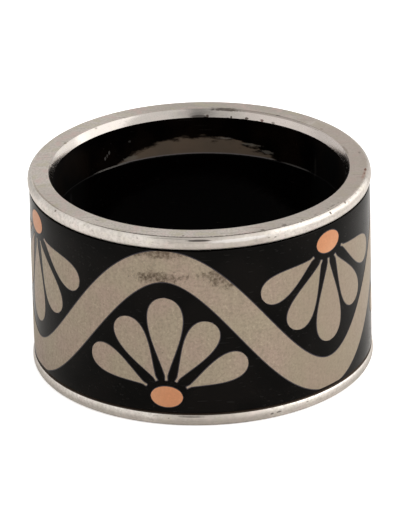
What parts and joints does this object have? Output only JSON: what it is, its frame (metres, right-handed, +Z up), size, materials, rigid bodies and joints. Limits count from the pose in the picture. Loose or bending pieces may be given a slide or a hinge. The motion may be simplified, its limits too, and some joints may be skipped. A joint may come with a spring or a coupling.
{
  "type": "wide enamel band ring",
  "caption": "Wide straight band ring with a metal sleeve and two beaded rims, a black enamel band outside and a black comfort-shaped enamel lining.",
  "frame": {"origin": "centre of the lower rim's flat face, on which the ring rests, at the bottom centre of the bounding box", "axes": "+Z up along the axis of the finger opening; the ring is the same all round, and +Y is the side away from the picture's camera"},
  "size_m": [0.0202, 0.0202, 0.012],
  "materials": {
    "rim_metal": "satin silver-coloured plating, polished on the beads",
    "outer_enamel": "glossy black enamel with a flat champagne and coral print",
    "lining_enamel": "glossy black enamel, dulled where the finger rubs"
  },
  "bodies": {
    "root": {"metal_frame": "rim_metal", "enamel_band": "outer_enamel", "inner_lining": "lining_enamel"}
  },
  "joints": []
}
